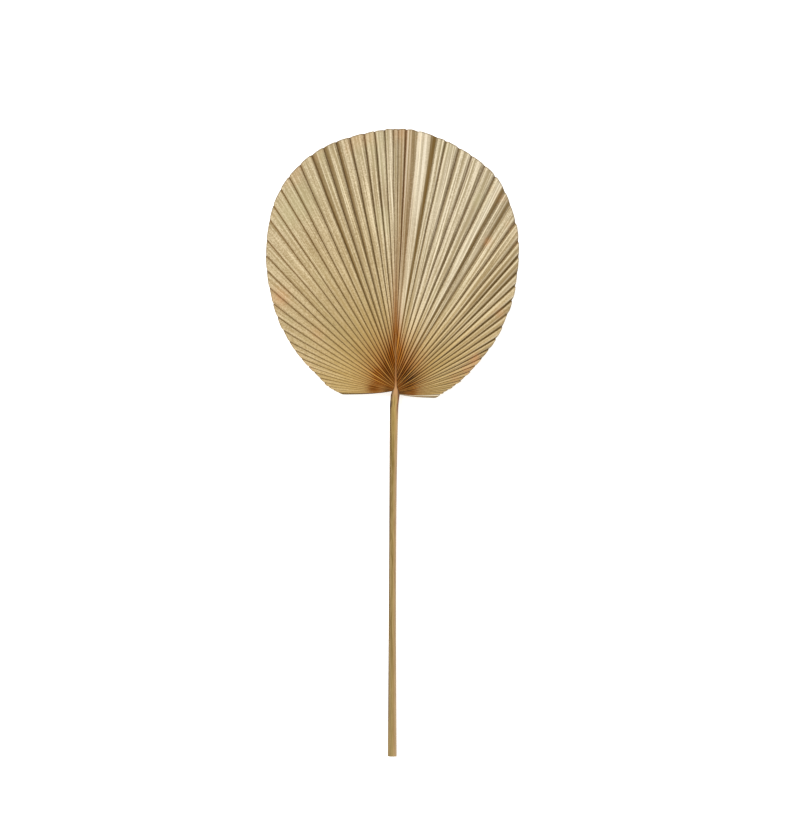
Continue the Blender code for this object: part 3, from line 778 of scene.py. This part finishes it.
def node(tree, kind, settings=None, inputs=(), output=0):
    # Any node: its settings first, then its inputs, by order or by name. Returns one output.
    made = tree.nodes.new(kind)
    for name, value in (settings or {}).items():
        if name == "stops":
            ramp = made.color_ramp
            while len(ramp.elements) < len(value):
                ramp.elements.new(0.5)
            for element, (place, color) in zip(ramp.elements, value):
                element.position = place
                element.color = color
        else:
            setattr(made, name, value)
    pairs = inputs.items() if isinstance(inputs, dict) else enumerate(inputs)
    for place, value in pairs:
        if isinstance(value, Wire):
            tree.links.new(value.socket, made.inputs[place])
        else:
            made.inputs[place].default_value = value
    return Wire(tree, made.outputs[output])


def mixColors(tree, amount, first, second):
    # wires or tints in 0 to 255, by inputs 0, 6 and 7 of a colour Mix node and its output 2
    colors = [one if isinstance(one, Wire) else linear(*one) for one in (first, second)]
    inputs = {0: amount, 6: colors[0], 7: colors[1]}
    return node(tree, "ShaderNodeMix", {"data_type": "RGBA"}, inputs, 2)


def attributes(tree, *names, output="Fac"):
    return [node(tree, "ShaderNodeAttribute", {"attribute_name": name}, (), output) for name in names]


def stretchedNoise(tree, place, scale, detail, roughness):
    # noise whose grains are drawn out by the scale's three numbers
    spread = node(tree, "ShaderNodeVectorMath", {"operation": "MULTIPLY"}, [place, scale])
    inputs = {"Vector": spread, "Scale": 1.0, "Detail": detail, "Roughness": roughness}
    return node(tree, "ShaderNodeTexNoise", {}, inputs)


def relief(tree, height, strength, distance):
    inputs = {"Strength": strength, "Distance": distance, "Height": height}
    return node(tree, "ShaderNodeBump", {}, inputs, "Normal")


def finish(tree, shader, color, roughness, normal, specular):
    # what varies goes to these three sockets, and the specular level is one number
    tree.links.new(color.socket, shader.inputs["Base Color"])
    tree.links.new(roughness.socket, shader.inputs["Roughness"])
    tree.links.new(normal.socket, shader.inputs["Normal"])
    shader.inputs["Specular IOR Level"].default_value = specular


def newMaterial(name):
    material = bpy.data.materials.new(name)
    material.use_nodes = True
    tree = material.node_tree
    return material, tree, tree.nodes["Principled BSDF"]


# Blade's finish
bladeFinish = {
    "straw": (150, 128, 88),
    "strawLight": (214, 194, 152),
    "silver": (224, 213, 190),
    "silverDark": (160, 146, 117),
    "strawGreen": (176, 168, 128),
    "gold": (188, 156, 90),
    "olive": (116, 92, 50),
    "ochre": (160, 120, 58),
    "umber": (92, 62, 12),
    "umberDeep": (62, 38, 8),
    "ribPaleAndHighlightTint": (234, 220, 188),
    "amber": (145, 81, 13),
    "rust": (66, 25, 2),
    "char": (16, 7, 1),
    "heartRib": (192, 138, 62),
    "blush": (192, 140, 96),
    "cutRim": (118, 98, 74),
    "lining": (190, 176, 144),
    "roughness": 0.50,
    "specular": 0.06,
    # what changes the straw's lightness, first threads, veins, streaks and clouds
    "grain": (3.4, 1.8, 1.0, 0.5),
    "mottling": 1.7,
    # the ribs' pale colour and painted highlight
    "ribPaleAndHighlightLift": 0.5,
    # painted shade on the panels
    "panelShade": 0.22,
    "silverLift": 0.11,
    # how much of these tints is laid on where they are strongest
    "silverShare": 0.75,
    "goldShare": 0.8,
    "rustShare": 0.9,
    "blushShare": 0.6,
    "rimShare": 0.7,
    "liningShare": 0.45,
    "rimEdge": (0.0006, 0.0026),  # metres from the rim over which the cut's colour fades
    "rimBlush": (0.006, 0.035),
    "veinDepth": 0.0006,
    "veinStrength": 0.8,
    # noises: grains to the metre, detail and roughness. The first four count their grains across
    # the pleat, along it and from pleat to pleat.
    "veins": ((1100.0, 16.0, 5.3), 3.0, 0.6),
    "threads": ((560.0, 7.0, 4.1), 1.0, 0.4),
    "streaks": ((240.0, 5.0, 3.1), 2.0, 0.55),
    "flecks": ((420.0, 90.0, 2.0), 2.0, 0.5),
    "clouds": ((14.0, 14.0, 14.0), 3.0, 0.55),
    "mottle": ((420.0, 420.0, 420.0), 1.0, 0.5),
}


def bladeMaterial():
    look = bladeFinish
    material, tree, shader = newMaterial("dry_blade_finish")
    groove, rib, panel, hollow = attributes(tree, "groove", "rib", "panel", "hollow")
    tone, grey, live, stripe = attributes(tree, "tone", "grey", "live", "stripe")
    brown, pale, green, blush = attributes(tree, "brown", "pale", "green", "blush")
    amber, gold, silver, scorch = attributes(tree, "amber", "gold", "silver", "scorch")
    rimDistance, underside = attributes(tree, "rimDistance", "underside")
    place = attributes(tree, "veinPlace", output="Vector")[0]
    around = node(tree, "ShaderNodeTexCoord", {}, (), "Object")

    # fine veins along the pleat, threads and broader streaks, and cloudy patches
    veins = stretchedNoise(tree, place, *look["veins"])
    threads = stretchedNoise(tree, place, *look["threads"])
    streaks = stretchedNoise(tree, place, *look["streaks"])
    clouds = stretchedNoise(tree, around, *look["clouds"])
    flecks = stretchedNoise(tree, place, *look["flecks"])
    mottle = stretchedNoise(tree, around, *look["mottle"])

    # straw, silvery where the leaf is, with green and golden tints
    parts = zip((threads, veins, streaks, clouds), look["grain"])
    grain = sum((noise - 0.5) * strength for noise, strength in parts)
    light = grain * live + (mottle - 0.5) * look["mottling"] + tone
    # pale ribs with painted highlight, and painted shade across the panels
    light = (light + rib * look["ribPaleAndHighlightLift"] - panel * look["panelShade"] + silver * look["silverLift"]).clamp()
    warmStraw = mixColors(tree, light, look["straw"], look["strawLight"])
    coolStraw = mixColors(tree, light, look["silverDark"], look["silver"])
    color = mixColors(tree, silver * look["silverShare"], warmStraw, coolStraw)
    greenish = (clouds.between(0.48, 0.66) * grey * 0.4 + green * 0.6).clamp()
    color = color.tinted(greenish, look["strawGreen"])
    color = color.tinted((gold * look["goldShare"]).clamp(), look["gold"])
    # pale panels, partly painted highlight; brown walls, partly painted shade on walls turned from the
    # light; pale rib crowns with painted highlight
    bleached = (pale * (0.70 + (threads - 0.5) * 2.4)).clamp()
    color = color.tinted(bleached, look["silver"])
    brownedAndShaded = (brown * (0.80 + (streaks - 0.5) * 1.2)).clamp()
    color = color.tinted(brownedAndShaded, look["olive"])
    # pale rib crowns with painted highlight, strongest on the fan's right side
    crown = rib * (1.0 - gold * 0.85) * (0.50 + (threads - 0.5) * 1.6)
    color = color.tinted(crown.clamp(), look["ribPaleAndHighlightTint"])
    shade = (groove * (0.90 + (veins - 0.5) * 0.6)).clamp()
    # the groove lines, partly painted shade in the hollows, are ochre on the calm left side, brown elsewhere
    # and darkest round the heart
    lines = mixColors(tree, live.between(0.4, 0.7), look["ochre"], look["umber"])
    lines = mixColors(tree, gold, lines, look["umberDeep"])
    color = color.tinted(shade, lines)

    # amber and scorched heart, where painted shade makes the grooves darkest and painted highlight keeps the
    # panels between them lighter
    warm = (amber * (0.90 + (streaks - 0.5) * 1.2 + 0.5 * hollow)).clamp()
    color = color.tinted(warm, look["amber"])
    # painted shade in the heart's hollows, laid on as rust
    dip = hollow.between(0.15, 0.85) * 1.2 + (0.5 - stripe) * 0.5 + 0.08
    color = color.tinted((amber * dip).clamp() * look["rustShare"], look["rust"])
    charredAndShaded = (scorch * (0.50 + 0.8 * hollow.between(0.0, 0.8) + (0.5 - stripe) * 0.6)).clamp()
    color = color.tinted(charredAndShaded, look["char"])
    crest = amber * (1.0 - hollow.between(0.0, 0.5)) * ((stripe - 0.4) * 0.6 + (threads - 0.5) * 2.0)
    color = color.tinted(crest.clamp(), look["heartRib"])

    # rusty flecks, rosy patches, the cut rim and the paler underside
    rusty = (flecks.between(0.66, 0.76) * clouds.between(0.52, 0.66) * 0.6).clamp()
    color = color.tinted(rusty, look["rust"])
    nearRim = 1.0 - rimDistance.between(*look["rimBlush"])
    rosy = (blush + clouds.between(0.52, 0.64) * nearRim * 0.35).clamp() * look["blushShare"]
    color = color.tinted(rosy, look["blush"])
    edge = (1.0 - rimDistance.between(*look["rimEdge"])) * look["rimShare"]
    color = color.tinted(edge, look["cutRim"])
    color = color.tinted(underside * look["liningShare"], look["lining"])

    normal = relief(tree, veins * 0.7 + streaks * 0.3, look["veinStrength"], look["veinDepth"])
    roughness = look["roughness"] + (streaks - 0.5) * 0.25 + groove * 0.15
    finish(tree, shader, color, roughness, normal, look["specular"])
    return material


# Stalk's finish
stalkFinish = {
    # across the stalk from its left side to its right one: its own bands, and painted shade at the left and
    # painted light at the right
    "across": (
        (0.00, (84, 58, 28)), (0.12, (98, 72, 38)), (0.21, (134, 112, 58)), (0.29, (94, 72, 30)),
        (0.39, (140, 118, 56)), (0.50, (102, 78, 32)), (0.58, (154, 128, 72)), (0.70, (160, 130, 84)),
        (0.80, (164, 132, 96)), (0.92, (176, 146, 112)), (1.00, (150, 118, 90)),
    ),
    "pale": (186, 164, 118),
    "spot": (60, 36, 16),
    "gold": (196, 164, 96),
    "red": (128, 68, 44),
    "costa": (150, 98, 48),
    "hastula": (182, 136, 92),
    "pith": (190, 166, 124),
    "pithDark": (84, 60, 34),
    "roughness": 0.48,
    "specular": 0.2,
    "fibreDepth": 0.0005,
    "fibreStrength": 0.7,
    # noises: grains to the metre along x, y and z, detail and roughness
    "fibres": ((1500.0, 22.0, 1500.0), 3.0, 0.6),
    "bands": ((420.0, 5.0, 420.0), 2.0, 0.5),
    "blotches": ((60.0, 26.0, 60.0), 3.0, 0.6),
    "pores": 900.0,  # fibre ends to the metre
    "bandWander": 0.07,
    # metres from the heart over which each of these comes
    "dimFrom": (-0.438, -0.038),
    "goldFrom": (-0.13, -0.02),
    "redFrom": (-0.06, -0.02),
    "blotchFrom": (-0.11, -0.02),
    "bladeFrom": (-0.026, -0.002),
    "flankFrom": (-0.022, -0.012),
    "costaFrom": (-0.004, 0.012),
}


def stalkMaterial():
    look = stalkFinish
    material, tree, shader = newMaterial("dry_stalk_finish")
    around, cut = attributes(tree, "around", "cut")
    place = node(tree, "ShaderNodeTexCoord", {}, (), "Object")
    fromHeart = node(tree, "ShaderNodeSeparateXYZ", {}, [place], "Y") - heartY
    fibres = stretchedNoise(tree, place, *look["fibres"])
    bands = stretchedNoise(tree, place, *look["bands"])
    blotches = stretchedNoise(tree, place, *look["blotches"])

    # long bands across the stalk, lighter and darker by its fibres
    across = (around * 0.5 + 0.5 + (bands - 0.5) * look["bandWander"]).clamp()
    stops = [(spot, linear(*tint)) for spot, tint in look["across"]]
    color = node(tree, "ShaderNodeValToRGB", {"stops": stops}, [across])
    light = (fibres - 0.5) * 1.3 + (bands - 0.5) * 1.0 + 0.24
    light = light - 0.22 * fromHeart.between(*look["dimFrom"])
    color = color.tinted(light.clamp(), look["pale"])
    dull = ((0.5 - fibres) * 1.6 + (0.5 - bands) * 0.9).clamp()
    color = color.tinted(dull, look["spot"])

    # golden and reddish below the blade, rosy on the hastula and the costa with painted highlight on their
    # top, and painted shade beside them
    nearBlade = fromHeart.between(*look["goldFrom"])
    golden = nearBlade * across.between(0.18, 0.34) * (0.36 + (fibres - 0.5) * 0.8)
    color = color.tinted(golden.clamp(), look["gold"])
    reddish = (across + blotches * 0.25).between(0.88, 1.0) * fromHeart.between(*look["redFrom"])
    color = color.tinted(reddish * 0.8, look["red"])
    inBlade = fromHeart.between(*look["bladeFrom"])
    onCosta = fromHeart.between(*look["costaFrom"])
    rosy = mixColors(tree, onCosta, look["hastula"], look["costa"])
    side = around.maths("ABSOLUTE").between(0.25, 0.85)
    crown = inBlade * (0.95 - side * 0.75 + (fibres - 0.5) * 1.6 + (bands - 0.5) * 1.2)
    color = color.tinted(crown.clamp(), rosy)
    # painted shade on the stalk's flanks beside the hastula and the costa
    flank = side * fromHeart.between(*look["flankFrom"]) * 0.55
    color = color.tinted(flank, look["spot"])
    blotched = blotches.between(0.58, 0.68) * fromHeart.between(*look["blotchFrom"])
    color = color.tinted(blotched * (1.0 - inBlade) * 0.8, look["spot"])

    # the cut foot: pale pith with dark fibre ends
    inputs = {"Vector": place, "Scale": look["pores"]}
    pores = node(tree, "ShaderNodeTexVoronoi", {"feature": "F1"}, inputs, "Distance")
    fibreEnds = 1.0 - pores.between(0.18, 0.42)
    foot = mixColors(tree, fibreEnds, look["pith"], look["pithDark"])
    color = color.tinted(cut, foot)

    normal = relief(tree, fibres * 0.6 + bands * 0.4, look["fibreStrength"], look["fibreDepth"])
    roughness = look["roughness"] + (fibres - 0.5) * 0.3
    finish(tree, shader, color, roughness, normal, look["specular"])
    return material


blade = makeBlade()
blade.data.materials.append(bladeMaterial())
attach(blade, "root")
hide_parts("blade")
print("blade made:", len(blade.data.polygons), "faces")

stalk = makeStalk()
stalk.data.materials.append(stalkMaterial())
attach(stalk, "root")
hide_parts("petiole")
print("stalk made:", len(stalk.data.polygons), "faces")

# Floor, light and camera
studio = {
    "floorSize": 40.0,
    "floorColor": (0.90, 0.90, 0.895, 1.0),
    "sunFrom": (-0.48, 0.50, 1.0),  # towards the light
    "sunStrength": 2.15,
    "sunAngle": 28.0,
    "skyColor": (1.0, 0.995, 0.985, 1.0),
    "skyStrength": 0.73,
    "floorGlow": 0.65,
    "floorDepth": 0.0002,  # the floor lies this much below the leaf
    "metresPerPixel": 1.0017 / 629,
    "photoWidth": 787,
    "photoHeight": 823,
    "leafMiddle": (392.5, 442.5),  # the leaf's middle in the photo, in pixels
    "lens": 85.0,
    "sensor": 36.0,
    "leafLevel": 0.012,  # the height at which the pixels have their size
}


def makeStudio():
    scene = bpy.context.scene
    half, low = studio["floorSize"] / 2, -studio["floorDepth"]
    corners = [(-half, -half, low), (half, -half, low), (half, half, low), (-half, half, low)]
    mesh = bpy.data.meshes.new("floor")
    mesh.from_pydata(corners, [], [(0, 1, 2, 3)])
    floor = addObject("floor", mesh)
    material, tree, shader = newMaterial("floor_paper")
    inputs = {
        "Base Color": studio["floorColor"],
        "Roughness": 0.9,
        "Specular IOR Level": 0.1,
        "Emission Color": studio["floorColor"],
        "Emission Strength": studio["floorGlow"],
    }
    for name, value in inputs.items():
        shader.inputs[name].default_value = value
    floor.data.materials.append(material)

    sun = bpy.data.lights.new("key", "SUN")
    sun.energy = studio["sunStrength"]
    sun.angle = math.radians(studio["sunAngle"])
    lamp = addObject("key", sun)
    lamp.rotation_mode = "QUATERNION"
    lamp.rotation_quaternion = (-Vector(studio["sunFrom"])).to_track_quat("-Z", "Y")

    world = bpy.data.worlds.new("sky")
    world.use_nodes = True
    sky = world.node_tree.nodes["Background"]
    sky.inputs["Color"].default_value = studio["skyColor"]
    sky.inputs["Strength"].default_value = studio["skyStrength"]
    scene.world = world
    scene.view_settings.view_transform = "Standard"

    camera = bpy.data.cameras.new("camera")
    camera.lens = studio["lens"]
    camera.sensor_width = studio["sensor"]
    viewer = addObject("camera", camera)
    scale = studio["metresPerPixel"]
    # the photo's height fills the longer side of the picture
    distance = studio["photoHeight"] * scale * studio["lens"] / studio["sensor"]
    viewer.location = (
        (studio["photoWidth"] / 2 - studio["leafMiddle"][0]) * scale,
        (studio["leafMiddle"][1] - studio["photoHeight"] / 2) * scale,
        distance + studio["leafLevel"],
    )
    scene.camera = viewer


makeStudio()
print("studio made")
